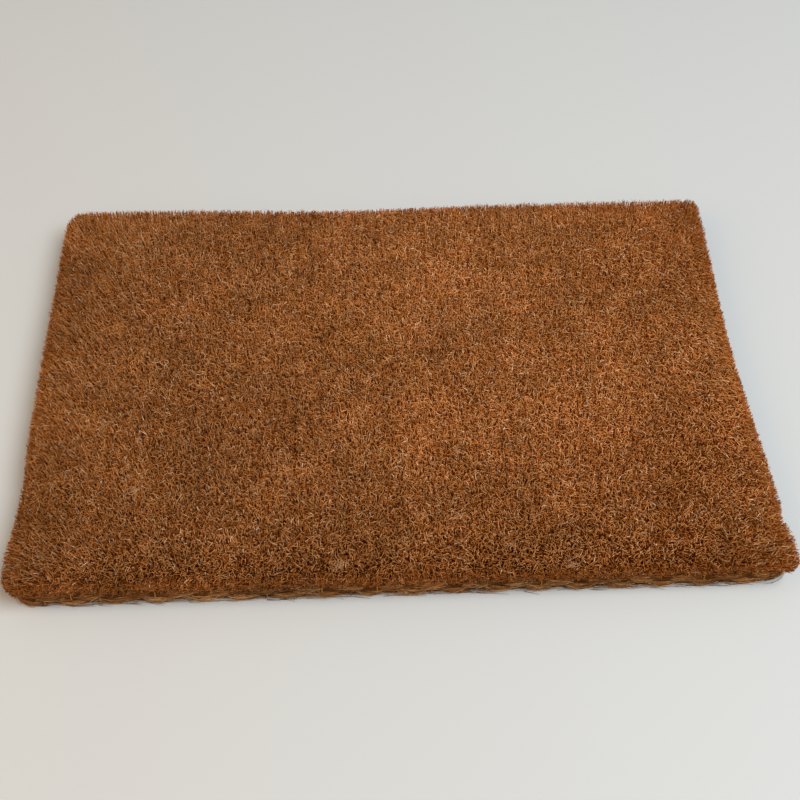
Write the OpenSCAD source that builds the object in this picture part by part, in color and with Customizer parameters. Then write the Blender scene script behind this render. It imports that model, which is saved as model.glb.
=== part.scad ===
// Coir brush door mat, woven on two warps, with a plaited edging sewn round it.
// +X runs along the length of the mat, +Y to its back edge and +Z up.
// The origin is on the floor under the middle of the mat.

/* [Mat] */
// Length of the mat along X, over the pile
mat_l = 600; // [420:10:760]
// Depth of the mat along Y, over the pile
mat_d = 400; // [300:10:560]
// Height from the floor to the tips of the pile
mat_h = 30; // [25:1:45]
// Radius of the four corners in plan
corner_r = 20; // [17:1:30]

/* [Pile] */
// Least distance between two rows of pile
row_pitch = 10.4; // [8.4:0.1:13]
// Thickness of a row at its bound root
root_w = 6.4; // [5.2:0.1:7.6]
// Gap between two neighbouring rows
row_gap = 0.4; // [0.2:0.1:1]
// Rounding along the top edges of a row
crown = 1.5; // [0.5:0.1:3]
// Fanning of the outer rows, where a higher number keeps it nearer the edge
fan_power = 8; // [4:1:14]

/* [Yarns] */
// Diameter of the weft yarn
weft_yarn_d = 3; // [2:0.1:3.8]
// Diameter of the yarns of the tight warp
tight_yarn_d = 3.4; // [2.4:0.1:4.5]
// Diameter of the yarns of the binder warp
binder_yarn_d = 3; // [2:0.1:3.8]
// Distance between two warp yarns of the same kind
warp_pitch = 24; // [16:1:40]
// Diameter of the selvedge and heading cords
edge_cord_d = 4.6; // [3:0.1:5.4]
// Diameter of the knots that end the binder warp
knot_d = 5; // [4:0.1:6]

/* [Edging] */
// Thickness of the plait in plan
plait_w = 9; // [7:0.5:11]
// Height of the plait
plait_h = 16; // [13:0.5:20]
// Rounding of the plait's lower edges
plait_foot_r = 1.5; // [0.5:0.1:3]
// Diameter of the sewing yarn
stitch_d = 1.2; // [0.8:0.1:1.5]
// Rows of pile, counted in pairs, from one stitch to the next
stitch_step = 2; // [2:1:4]
// Stitches set closer together where the two ends of the plait meet
join_stitches = 2; // [1:1:4]

/* [Hidden] */
$fn = 24;
// Clearance between soft pieces, and the closer one round yarns and stitches.
clear = 0.3;
stitch_clear = 0.1;
// Extra width of the slots that the stitches pass through, and how full their bends are.
slot_over = 0.6;
bend_swell = 1.08;
// Fibre under the weft, between the weft and the binder, and over the binder.
root_floor = 3;
yarn_wall = 1;
neck_wall = 0.5;
// Rise of a row's shoulders, and the share of the brush above them that leans outwards.
shoulder_rise = 1.6;
lean_share = 0.35;
// Radius of a half turn of the weft as a share of the row pitch, with a tenth to spare.
turn_share = 0.55;
// How far cutting shapes reach past what they cut.
over = 1;

// The plait's section, and the band between the plait and the roots of the pile.
plait_out = stitch_d + 2 * stitch_clear;
plait_in = plait_out + plait_w;
cord_room = clear + edge_cord_d + clear + stitch_d + 2 * clear;
turn_room = turn_share * row_pitch + weft_yarn_d / 2;
root_in = plait_in + max(cord_room, turn_room);
root_l = mat_l - 2 * root_in;
root_d = mat_d - 2 * root_in;
plait_crown_r = plait_w / 2;

// The rows come in pairs, because each node holds two of them.
pair_count = floor(root_l / (2 * row_pitch));
row_count = 2 * pair_count;
pitch = root_l / row_count;

// Heights, from the floor up.
stitch_z = clear + stitch_d / 2;
root_z = tight_yarn_d + clear;
selvedge_top = stitch_z + stitch_d / 2 + stitch_clear + edge_cord_d;
weft_z = max(root_z + root_floor, selvedge_top) + stitch_clear + weft_yarn_d / 2;
binder_z = weft_z + (weft_yarn_d + binder_yarn_d) / 2 + yarn_wall;
neck_z = binder_z + binder_yarn_d / 2 + neck_wall;
flare_z = max(neck_z + shoulder_rise, plait_h);
lip_z = flare_z + lean_share * (mat_h - flare_z);
heading_z = tight_yarn_d + clear + edge_cord_d / 2;
selvedge_z = weft_z - (weft_yarn_d + edge_cord_d) / 2 - stitch_clear;

// Places across the mat.
cord_in = plait_in + clear + edge_cord_d / 2;
knot_in = plait_in + stitch_clear + knot_d / 2;
leg_in = root_in - clear - stitch_d / 2;
plait_mid = plait_out + plait_w / 2;
warp_count = 1 + 2 * floor((root_d / 2 - warp_pitch / 3) / warp_pitch);

function row_edge(i) = -root_l / 2 + i * pitch;
function fanned(x) = x + sign(x) * root_in * pow(abs(x) / (root_l / 2), fan_power);
function warp_y(k) = (k - (warp_count - 1) / 2) * warp_pitch;
function pair_name(p) = str("pile_rows_", p < 9 ? "0" : "", p + 1);

// Stitch places. On the front they fall inside a pair of rows, on the back between two pairs,
// and on the left and right between two warp yarns, so that none meets a turn of the weft.
front_stitch_x = [for (p = [0 : stitch_step : pair_count - 1]) row_edge(2 * p + 1)];
back_stitch_x = [for (p = [stitch_step : stitch_step : pair_count - 1]) row_edge(2 * p)];
end_stitch_y = [for (k = [0 : stitch_step : warp_count - 2]) warp_y(k + 0.5)];
join_stitch_x = [for (p = [1 : stitch_step : 2 * join_stitches]) row_edge(2 * p + 1)];

PILE_NODES = [for (p = [0 : pair_count - 1]) pair_name(p)];
YARN_NODES = [
    "weft_picks", "weft_turns_front", "weft_turns_back",
    "tight_warp", "binder_warp", "warp_knots_left", "warp_knots_right",
    "selvedge_cord_front", "selvedge_cord_back", "heading_cord_left", "heading_cord_right"
];
EDGING_NODES = [
    "edging_front", "edging_back", "edging_left", "edging_right",
    "edging_corner_front_left", "edging_corner_front_right",
    "edging_corner_back_left", "edging_corner_back_right",
    "stitches_front", "stitches_back", "stitches_left", "stitches_right", "join_stitches_front"
];

PILE_COLOUR = "#9a6434";
YARN_COLOUR = "#a87840";
EDGING_COLOUR = "#b08048";
TWINE_COLOUR = "#c8a878";

// A round yarn along X or Y, centred on the axis it lies on.
module yarn_x(length, d) {
    rotate([0, 90, 0]) cylinder(h = length, d = d, center = true);
}

module yarn_y(length, d) {
    rotate([90, 0, 0]) cylinder(h = length, d = d, center = true);
}

// Section of one row across the mat: a bound root, a neck and the fanned brush above it.
module row_section(i) {
    left = row_edge(i) + row_gap / 2;
    right = row_edge(i + 1) - row_gap / 2;
    middle = (left + right) / 2;
    top_left = fanned(row_edge(i)) + row_gap / 2;
    top_right = fanned(row_edge(i + 1)) - row_gap / 2;
    polygon([
        [middle - root_w / 2, root_z],
        [middle + root_w / 2, root_z],
        [middle + root_w / 2, neck_z],
        [right, flare_z],
        [top_right, lip_z],
        [top_right, mat_h - crown],
        [top_right - crown, mat_h],
        [top_left + crown, mat_h],
        [top_left, mat_h - crown],
        [top_left, lip_z],
        [left, flare_z],
        [middle - root_w / 2, neck_z]
    ]);
}

// Section of the brush from front to back, with both ends leaning out over the edging.
module depth_section() {
    polygon([
        [-root_d / 2, root_z - over],
        [root_d / 2, root_z - over],
        [root_d / 2, flare_z],
        [mat_d / 2, lip_z],
        [mat_d / 2, mat_h - crown],
        [mat_d / 2 - crown, mat_h],
        [-mat_d / 2 + crown, mat_h],
        [-mat_d / 2, mat_h - crown],
        [-mat_d / 2, lip_z],
        [-root_d / 2, flare_z]
    ]);
}

module mat_plan() {
    square([mat_l - 2 * corner_r, mat_d], center = true);
    square([mat_l, mat_d - 2 * corner_r], center = true);
    for (sx = [-1, 1], sy = [-1, 1])
        translate([sx * (mat_l / 2 - corner_r), sy * (mat_d / 2 - corner_r)])
            circle(r = corner_r, $fn = 64);
}

// One row of pile, threaded by its weft pick and by every binder yarn.
module pile_row(i) {
    near_corner = fanned(row_edge(i + 1)) > mat_l / 2 - corner_r
        || fanned(row_edge(i)) < corner_r - mat_l / 2;
    difference() {
        intersection() {
            rotate([90, 0, 0])
                linear_extrude(height = mat_d, center = true) row_section(i);
            rotate([90, 0, 90])
                linear_extrude(height = mat_l, center = true) depth_section();
            if (near_corner)
                linear_extrude(height = mat_h + over) mat_plan();
        }
        translate([row_edge(i + 0.5), 0, weft_z])
            yarn_y(root_d + over, weft_yarn_d + 2 * stitch_clear);
        for (k = [0 : warp_count - 1])
            translate([row_edge(i + 0.5), warp_y(k), binder_z])
                yarn_x(pitch, binder_yarn_d + 2 * stitch_clear);
    }
}

module pile_rows(p) {
    color(PILE_COLOUR) {
        pile_row(2 * p);
        pile_row(2 * p + 1);
    }
}

// The picks of the weft, one inside the root of each row.
module weft_picks() {
    color(YARN_COLOUR)
        for (i = [0 : row_count - 1])
            translate([row_edge(i + 0.5), 0, weft_z]) yarn_y(root_d, weft_yarn_d);
}

// The half turns of the weft from the picks first, first + 2 and so on, each to the next pick.
// They meet the picks face to face on the side that s points to.
module weft_turns(s, first) {
    color(YARN_COLOUR)
        for (i = [first : 2 : row_count - 2])
            translate([row_edge(i + 1), s * root_d / 2, weft_z])
                rotate([0, 0, s > 0 ? 0 : 180])
                    rotate_extrude(angle = 180)
                        translate([pitch / 2, 0]) circle(d = weft_yarn_d);
}

module tight_warp() {
    color(YARN_COLOUR)
        for (k = [0 : warp_count - 1])
            translate([0, warp_y(k), tight_yarn_d / 2])
                yarn_x(mat_l - 2 * (plait_in + clear), tight_yarn_d);
}

module binder_warp() {
    color(YARN_COLOUR)
        for (k = [0 : warp_count - 1])
            translate([0, warp_y(k), binder_z])
                yarn_x(mat_l - 2 * (knot_in + knot_d / 2 + stitch_clear), binder_yarn_d);
}

// The knots at one end of the binder warp, on the side that s points to.
module warp_knots(s) {
    color(YARN_COLOUR)
        for (k = [0 : warp_count - 1])
            translate([s * (mat_l / 2 - knot_in), warp_y(k), binder_z]) sphere(d = knot_d);
}

module selvedge_cord(s) {
    color(YARN_COLOUR)
        translate([0, s * (mat_d / 2 - cord_in), selvedge_z])
            yarn_x(mat_l - 2 * corner_r, edge_cord_d);
}

module heading_cord(s) {
    color(YARN_COLOUR)
        translate([s * (mat_l / 2 - cord_in), 0, heading_z])
            yarn_y(mat_d - 2 * corner_r, edge_cord_d);
}

// Section of the plait, flat underneath and round on top. X is the distance in from the outline.
module plait_section() {
    translate([plait_out, plait_foot_r])
        square([plait_w, plait_h - plait_crown_r - plait_foot_r]);
    translate([plait_out + plait_foot_r, 0])
        square([plait_w - 2 * plait_foot_r, plait_foot_r]);
    for (x = [plait_out + plait_foot_r, plait_in - plait_foot_r])
        translate([x, plait_foot_r]) circle(r = plait_foot_r);
    translate([plait_mid, plait_h - plait_crown_r]) circle(r = plait_crown_r);
}

// A slot under the plait that a stitch passes through, running along Y.
module stitch_slot() {
    slot_depth = stitch_z + stitch_d / 2 + stitch_clear;
    translate([0, plait_mid, 0])
        cube([stitch_d + slot_over, plait_w + over, 2 * slot_depth], center = true);
}

// A straight run of the plait along X, on the outline y = 0, with the mat on its +Y side.
module edging_run(length, stitch_places) {
    color(EDGING_COLOUR)
        difference() {
            translate([-length / 2, 0, 0]) rotate([90, 0, 90])
                linear_extrude(height = length) plait_section();
            for (x = stitch_places) translate([x, 0, 0]) stitch_slot();
        }
}

// The plait's turn round one corner, where sx and sy give the corner's signs.
module edging_corner(sx, sy) {
    start = sx > 0 ? (sy > 0 ? 0 : -90) : (sy > 0 ? 90 : 180);
    color(EDGING_COLOUR)
        translate([sx * (mat_l / 2 - corner_r), sy * (mat_d / 2 - corner_r), 0])
            rotate([0, 0, start])
                rotate_extrude(angle = 90, $fn = 64)
                    translate([corner_r, 0]) mirror([1, 0]) plait_section();
}

// Moves what is drawn along X on the outline y = 0 to one of the mat's four sides.
module on_front() { translate([0, -mat_d / 2, 0]) children(); }
module on_back() { translate([0, mat_d / 2, 0]) rotate([0, 0, 180]) children(); }
module on_left() { translate([-mat_l / 2, 0, 0]) rotate([0, 0, -90]) children(); }
module on_right() { translate([mat_l / 2, 0, 0]) rotate([0, 0, 90]) children(); }

// A straight piece of sewing yarn between two points in the YZ plane.
module stitch_leg(a, b) {
    translate([0, a[0], a[1]])
        rotate([atan2(a[0] - b[0], b[1] - a[1]), 0, 0])
            cylinder(h = norm(b - a), d = stitch_d);
}

// The bend between two legs, a little fuller than the yarn.
module stitch_bend(at) {
    translate([0, at[0], at[1]]) sphere(d = stitch_d * bend_swell);
}

// One closed stitch over the plait and under the cord beside it, on the outline y = 0.
module stitch() {
    arc_r = plait_crown_r + stitch_clear + stitch_d / 2;
    arc_z = plait_h - plait_crown_r;
    arc_end = [plait_mid + arc_r * cos(45), arc_z + arc_r * sin(45)];
    outer_top = [plait_mid - arc_r, arc_z];
    outer_foot = [plait_mid - arc_r, stitch_z];
    inner_top = [leg_in, arc_end[1] - (leg_in - arc_end[0])];
    inner_foot = [leg_in, stitch_z];
    translate([0, plait_mid, arc_z]) rotate([0, 90, 0]) rotate([0, 0, 135])
        rotate_extrude(angle = 135) translate([arc_r, 0]) circle(d = stitch_d);
    for (at = [arc_end, inner_top, inner_foot, outer_foot, outer_top]) stitch_bend(at);
    stitch_leg(arc_end, inner_top);
    stitch_leg(inner_top, inner_foot);
    stitch_leg(inner_foot, outer_foot);
    stitch_leg(outer_foot, outer_top);
}

module stitch_row(places) {
    color(TWINE_COLOUR)
        for (x = places) translate([x, 0, 0]) stitch();
}

front_places = concat(front_stitch_x, join_stitch_x);
back_places = [for (x = back_stitch_x) -x];
run_l = mat_l - 2 * corner_r;
run_d = mat_d - 2 * corner_r;

for (p = [0 : pair_count - 1])
    pile_rows(p);
weft_picks();
weft_turns(-1, 1);  // weft_turns_front
weft_turns(1, 0);  // weft_turns_back
tight_warp();
binder_warp();
warp_knots(-1);  // warp_knots_left
warp_knots(1);  // warp_knots_right
selvedge_cord(-1);  // selvedge_cord_front
selvedge_cord(1);  // selvedge_cord_back
heading_cord(-1);  // heading_cord_left
heading_cord(1);  // heading_cord_right
on_front() edging_run(run_l, front_places);  // edging_front
on_back() edging_run(run_l, back_places);  // edging_back
on_left() edging_run(run_d, end_stitch_y);  // edging_left
on_right() edging_run(run_d, end_stitch_y);  // edging_right
edging_corner(-1, -1);  // edging_corner_front_left
edging_corner(1, -1);  // edging_corner_front_right
edging_corner(-1, 1);  // edging_corner_back_left
edging_corner(1, 1);  // edging_corner_back_right
on_front() stitch_row(front_stitch_x);  // stitches_front
on_back() stitch_row(back_places);  // stitches_back
on_left() stitch_row(end_stitch_y);  // stitches_left
on_right() stitch_row(end_stitch_y);  // stitches_right
on_front() stitch_row(join_stitch_x);  // join_stitches_front
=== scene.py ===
"""Coir brush door mat: cut pile, woven ground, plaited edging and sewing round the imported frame."""
import logging
import math
from dataclasses import dataclass, field
from enum import Enum

import bmesh
import bpy
import numpy as np
from mathutils import Matrix, Vector


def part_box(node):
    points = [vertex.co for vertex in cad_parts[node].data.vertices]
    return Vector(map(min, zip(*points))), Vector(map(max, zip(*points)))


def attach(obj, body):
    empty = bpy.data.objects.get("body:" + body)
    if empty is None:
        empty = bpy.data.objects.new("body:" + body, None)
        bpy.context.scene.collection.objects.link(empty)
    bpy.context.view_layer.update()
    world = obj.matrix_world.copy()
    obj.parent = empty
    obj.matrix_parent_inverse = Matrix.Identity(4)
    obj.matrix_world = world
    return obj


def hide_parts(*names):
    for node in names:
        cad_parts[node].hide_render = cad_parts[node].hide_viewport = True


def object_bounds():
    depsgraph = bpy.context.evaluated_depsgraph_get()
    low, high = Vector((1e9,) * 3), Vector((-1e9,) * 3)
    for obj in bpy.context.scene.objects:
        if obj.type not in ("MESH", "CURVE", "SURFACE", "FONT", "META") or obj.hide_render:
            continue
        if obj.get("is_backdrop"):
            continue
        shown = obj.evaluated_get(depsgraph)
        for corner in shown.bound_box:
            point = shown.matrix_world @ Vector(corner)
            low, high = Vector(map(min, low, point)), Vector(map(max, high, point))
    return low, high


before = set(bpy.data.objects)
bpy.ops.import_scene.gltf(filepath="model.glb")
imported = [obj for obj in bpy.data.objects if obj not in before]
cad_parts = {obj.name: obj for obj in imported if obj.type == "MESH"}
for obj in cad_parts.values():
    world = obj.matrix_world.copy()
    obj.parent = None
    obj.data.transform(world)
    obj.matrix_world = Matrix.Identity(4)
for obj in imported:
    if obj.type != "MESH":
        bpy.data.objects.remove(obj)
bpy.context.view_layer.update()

LOG = logging.getLogger("door_mat")
MM = 0.001
TAU = 2 * math.pi
BODY = "root"
LEVEL_EDGE = 1e-5
ASKEW = (0.31, 0.95, 0.05)
Array = np.ndarray


# ---------------------------------------------------------------- sizes taken from the frame


@dataclass(frozen=True)
class Layout:
    """Where the rows, yarns and edging of the mat lie, in metres."""

    half_length: float
    half_depth: float
    height: float
    corner_radius: float
    root_half_x: float
    root_half_y: float
    pitch: float
    row_count: int
    weft_z: float
    weft_radius: float
    binder_z: float
    binder_radius: float
    tight_radius: float
    warp_places: tuple[float, ...]
    warp_reach: float
    plait_middle: float
    plait_width: float
    plait_height: float
    run_half_x: float
    run_half_y: float
    fan_power: float = 8.0
    end_fan_power: float = 14.0

    @classmethod
    def read(cls, warp_pitch: float = 24 * MM) -> "Layout":
        """Read the layout from the boxes of the frame's nodes.

        Args:
            warp_pitch: Distance between two warp yarns of the same kind.

        Returns:
            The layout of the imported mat.
        """
        low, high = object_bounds()
        picks_low, picks_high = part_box("weft_picks")
        tight_low, tight_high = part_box("tight_warp")
        binder_low, binder_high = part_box("binder_warp")
        run_low, run_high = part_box("edging_front")
        side_low, side_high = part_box("edging_right")
        row_count = 2 * sum(name.startswith("pile_rows_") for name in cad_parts)
        weft_radius = (picks_high[2] - picks_low[2]) / 2
        pitch = (picks_high[0] - picks_low[0] - 2 * weft_radius) / (row_count - 1)
        tight_radius = (tight_high[2] - tight_low[2]) / 2
        first, last = tight_low[1] + tight_radius, tight_high[1] - tight_radius
        places = np.linspace(first, last, round((last - first) / warp_pitch) + 1)
        return cls(
            half_length=-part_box("pile_rows_01")[0][0],
            half_depth=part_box("pile_rows_01")[1][1],
            height=high[2],
            corner_radius=-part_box("pile_rows_01")[0][0] - run_high[0],
            root_half_x=row_count * pitch / 2,
            root_half_y=picks_high[1],
            pitch=pitch,
            row_count=row_count,
            weft_z=(picks_low[2] + picks_high[2]) / 2,
            weft_radius=weft_radius,
            binder_z=(binder_low[2] + binder_high[2]) / 2,
            binder_radius=(binder_high[2] - binder_low[2]) / 2,
            tight_radius=tight_radius,
            warp_places=tuple(float(place) for place in places),
            warp_reach=tight_high[0],
            plait_middle=-(run_low[1] + run_high[1]) / 2,
            plait_width=run_high[1] - run_low[1],
            plait_height=run_high[2],
            run_half_x=run_high[0],
            run_half_y=side_high[1],
        )

    def fan(self, x: Array, y: Array) -> tuple[Array, Array]:
        """Lean a place at the roots out to where it stands at the tips.

        Args:
            x: Places along the mat at the roots.
            y: Places across the mat at the roots.

        Returns:
            The same places at the tips.
        """
        spread_x = self.half_length - self.root_half_x
        spread_y = self.half_depth - self.root_half_y
        lean_x = spread_x * np.abs(x / self.root_half_x) ** self.fan_power
        lean_y = spread_y * np.abs(y / self.root_half_y) ** self.end_fan_power
        return x + np.sign(x) * lean_x, y + np.sign(y) * lean_y

    def root_below(self, tip: Array) -> Array:
        """Give where the fibres stand at the roots, for places at the tips.

        Args:
            tip: Places along and across the mat at the tips.

        Returns:
            The places at the roots.
        """
        level = np.linspace(-1, 1, 800)
        roots = level * self.root_half_x, level * self.root_half_y
        tops = self.fan(*roots)
        return np.stack([np.interp(tip[:, axis], tops[axis], roots[axis]) for axis in (0, 1)], axis=1)

    def row_tops(self, row: int) -> tuple[float, float]:
        """Give where the two sides of a row lie at the tips.

        Args:
            row: The row's number, from 0 at the left.

        Returns:
            The places of its left and right sides along the mat.
        """
        edges = self.row_middle(row) + np.array([-0.5, 0.5]) * self.pitch
        left, right = self.fan(edges, np.zeros(2))[0]
        return float(left), float(right)

    def row_middle(self, row: int) -> float:
        """Return where the middle of a row's root lies along the mat."""
        return -self.root_half_x + (row + 0.5) * self.pitch


# ---------------------------------------------------------------- modelled shapes and their copies


@dataclass(frozen=True)
class Shape:
    """A modelled piece of mesh that copies are made from."""

    points: Array
    loops: Array
    starts: Array
    uvs: Array
    smooth: bool

    @classmethod
    def taken_from(cls, piece: bpy.types.Object, smooth: bool = True) -> "Shape":
        """Take the mesh of a finished object, with its place in its mesh, and remove the object.

        Args:
            piece: The object that was modelled.
            smooth: Whether its faces are shaded as one round surface.

        Returns:
            Its shape.
        """
        mesh = piece.data
        mesh.transform(piece.matrix_world)
        points = np.empty(3 * len(mesh.vertices))
        mesh.vertices.foreach_get("co", points)
        loops = np.empty(len(mesh.loops), dtype=np.int32)
        mesh.loops.foreach_get("vertex_index", loops)
        starts = np.empty(len(mesh.polygons), dtype=np.int32)
        mesh.polygons.foreach_get("loop_start", starts)
        uvs = np.empty(2 * len(mesh.loops))
        mesh.uv_layers.active.data.foreach_get("uv", uvs)
        bpy.data.objects.remove(piece)
        return cls(points.reshape(-1, 3), loops, starts, uvs.reshape(-1, 2), smooth)


def clear_selection() -> None:
    """Leave edit mode and deselect everything."""
    if bpy.context.mode != "OBJECT":
        bpy.ops.object.mode_set(mode="OBJECT")
    bpy.ops.object.select_all(action="DESELECT")


def model_rod(sides: int, *rounds: int, tip_radius: float = 1.0) -> Shape:
    """Model a closed rod from z = 0 to z = 1 with a radius of 1, cut evenly along its length.

    Args:
        sides: Number of faces round the rod.
        *rounds: For each round of cutting, the rings added between each two rings there are.
        tip_radius: Radius at z = 1, where 0 gives a point.

    Returns:
        The rod's shape.
    """
    clear_selection()
    bpy.ops.mesh.primitive_cone_add(
        vertices=sides, radius1=1.0, radius2=tip_radius, depth=1.0, location=(0, 0, 0.5)
    )
    rod = bpy.context.object
    bpy.ops.object.mode_set(mode="EDIT")
    bpy.ops.mesh.select_mode(type="EDGE")
    for cuts in rounds:
        bpy.ops.mesh.select_all(action="DESELECT")
        mesh = bmesh.from_edit_mesh(rod.data)
        for edge in mesh.edges:
            rise = abs(edge.verts[0].co.z - edge.verts[1].co.z)
            edge.select_set(rise > LEVEL_EDGE)
        bmesh.update_edit_mesh(rod.data)
        bpy.ops.mesh.subdivide(number_cuts=cuts)
    bpy.ops.object.mode_set(mode="OBJECT")
    return Shape.taken_from(rod, smooth=sides > 4)


def model_sleeve(sides: int, wall: float) -> Shape:
    """Model an open tube of radius 1 from z = 0 to z = 1 and give it a wall.

    Args:
        sides: Number of faces round the tube.
        wall: Thickness of the wall, inwards.

    Returns:
        The sleeve's shape.
    """
    clear_selection()
    bpy.ops.mesh.primitive_cylinder_add(
        vertices=sides, radius=1.0, depth=1.0, end_fill_type="NOTHING", location=(0, 0, 0.5)
    )
    sleeve = bpy.context.object
    modifier = sleeve.modifiers.new("wall", "SOLIDIFY")
    modifier.thickness = wall
    modifier.offset = -1.0
    modifier.use_even_offset = True
    bpy.ops.object.modifier_apply(modifier=modifier.name)
    return Shape.taken_from(sleeve)


def model_knot() -> Shape:
    """Model a tied knot: a ball pressed a little flat and drawn in round its middle.

    Returns:
        The knot's shape.
    """
    clear_selection()
    bpy.ops.mesh.primitive_uv_sphere_add(segments=12, ring_count=8, radius=1.0)
    knot = bpy.context.object
    bpy.ops.object.mode_set(mode="EDIT")
    bpy.ops.mesh.select_mode(type="VERT")
    bpy.ops.mesh.select_all(action="DESELECT")
    mesh = bmesh.from_edit_mesh(knot.data)
    for vert in mesh.verts:
        vert.select_set(abs(vert.co.z) < 0.3)
    mesh.select_flush_mode()
    bmesh.update_edit_mesh(knot.data)
    bpy.ops.transform.resize(value=(0.8, 0.8, 1.0))
    bpy.ops.mesh.select_all(action="SELECT")
    bpy.ops.transform.resize(value=(1.0, 1.12, 0.86))
    bpy.ops.object.mode_set(mode="OBJECT")
    return Shape.taken_from(knot)


@dataclass(frozen=True)
class Batch:
    """Copies of one shape, and what each point of each copy carries."""

    shape: Shape
    points: Array
    tint: Array
    along: Array
    grain: Array
    share: float

    @property
    def copies(self) -> int:
        """Return the number of copies."""
        return len(self.points)


@dataclass
class Bundle:
    """Copies of modelled shapes that are gathered into one piece.

    Each copy has a cell of the bake map, a tint and, along its length, a share from root to tip that sets
    how much painted shade it takes.
    """

    name: str
    batches: list[Batch] = field(default_factory=list)

    def add(self, shape: Shape, points: Array, tint: Array, along: Array,
            grain: Array | None = None, share: float = 1.0) -> None:
        """Add copies of a shape.

        Args:
            shape: The shape that is copied.
            points: Place of every point of every copy, as copies by points by 3.
            tint: One tint for each copy, from 0, dark, to 1, pale.
            along: Share from root to tip for each point of a copy, or of every copy, which sets how much
                painted shade it takes.
            grain: Each point's place in the yarn's own length and section, for its streaks.
            share: How much of the bake map the copies take, against the other copies.
        """
        size = points.shape[:2]
        tints = np.broadcast_to(np.reshape(tint, (size[0], -1)), size)
        grains = points if grain is None else np.broadcast_to(grain, points.shape)
        self.batches.append(Batch(shape, points, tints, np.broadcast_to(along, size), grains, share))

    def build(self, material: bpy.types.Material) -> bpy.types.Object:
        """Make the piece.

        Args:
            material: The piece's material.

        Returns:
            The new object, at the origin.
        """
        mesh = bpy.data.meshes.new(self.name)
        self.add_faces(mesh)
        layer = mesh.uv_layers.new(name="OFBake")
        layer.data.foreach_set("uv", self.bake_map())
        for name in ("tint", "along"):
            attribute = mesh.attributes.new(name, "FLOAT", "POINT")
            attribute.data.foreach_set("value", self.gathered(name).astype(np.float32))
        attribute = mesh.attributes.new("grain", "FLOAT_VECTOR", "POINT")
        attribute.data.foreach_set("vector", self.gathered("grain").astype(np.float32))
        mesh.materials.append(material)
        piece = bpy.data.objects.new(self.name, mesh)
        bpy.context.scene.collection.objects.link(piece)
        return piece

    def gathered(self, name: str) -> Array:
        """Return one field of all the batches as one flat list."""
        return np.concatenate([getattr(batch, name).ravel() for batch in self.batches])

    def add_faces(self, mesh: bpy.types.Mesh) -> None:
        """Put the points and the faces of every copy into a mesh.

        Args:
            mesh: The empty mesh.
        """
        loops, starts, smooth = [], [], []
        point_total, loop_total = 0, 0
        for batch in self.batches:
            shape, size = batch.shape, batch.points.shape[1]
            step = np.arange(batch.copies)[:, None]
            loops.append((shape.loops[None, :] + step * size + point_total).ravel())
            starts.append((shape.starts[None, :] + step * len(shape.loops) + loop_total).ravel())
            smooth.append(np.full(batch.copies * len(shape.starts), shape.smooth))
            point_total += batch.copies * size
            loop_total += batch.copies * len(shape.loops)
        mesh.vertices.add(point_total)
        mesh.vertices.foreach_set("co", self.gathered("points"))
        mesh.loops.add(loop_total)
        mesh.loops.foreach_set("vertex_index", np.concatenate(loops).astype(np.int32))
        faces = np.concatenate(starts).astype(np.int32)
        mesh.polygons.add(len(faces))
        mesh.polygons.foreach_set("loop_start", faces)
        mesh.polygons.foreach_set("use_smooth", np.concatenate(smooth))
        mesh.update(calc_edges=True)

    def bake_map(self) -> Array:
        """Lay the batches' maps over one another, each in a band as high as its share.

        Returns:
            The map of every corner of every face, as one flat list.
        """
        total, floor, maps = sum(batch.share for batch in self.batches), 0.0, []
        for batch in self.batches:
            band = batch.share / total
            maps.append(self.cells(batch.shape.uvs, batch.copies, floor, band).ravel())
            floor += band
        return np.concatenate(maps)

    @staticmethod
    def cells(uvs: Array, copies: int, floor: float, band: float, margin: float = 0.08) -> Array:
        """Place each copy's map in a cell of its own.

        Args:
            uvs: The shape's own map, in the unit square.
            copies: Number of copies.
            floor: Where the band of the bake map starts.
            band: Height of the band.
            margin: Share of a cell that is left free all round.

        Returns:
            The map of every corner of every copy.
        """
        columns = max(1, math.ceil(math.sqrt(copies / band)))
        lines = math.ceil(copies / columns)
        index = np.arange(copies)
        cell = np.array([1.0 / columns, band / lines])
        corner = np.stack([index % columns, index // columns], axis=1) * cell + (0.0, floor)
        inside = margin + uvs * (1 - 2 * margin)
        return corner[:, None, :] + inside[None, :, :] * cell


# ---------------------------------------------------------------- finishes


def linear(code: str) -> tuple[float, float, float, float]:
    """Turn a colour code into the linear colour that shaders use.

    Args:
        code: Two hexadecimal digits each for red, green and blue.

    Returns:
        The colour, with full cover.
    """
    parts = [int(code[i:i + 2], 16) / 255 for i in (0, 2, 4)]
    curve = [p / 12.92 if p <= 0.04045 else ((p + 0.055) / 1.055) ** 2.4 for p in parts]
    return (curve[0], curve[1], curve[2], 1.0)


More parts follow.
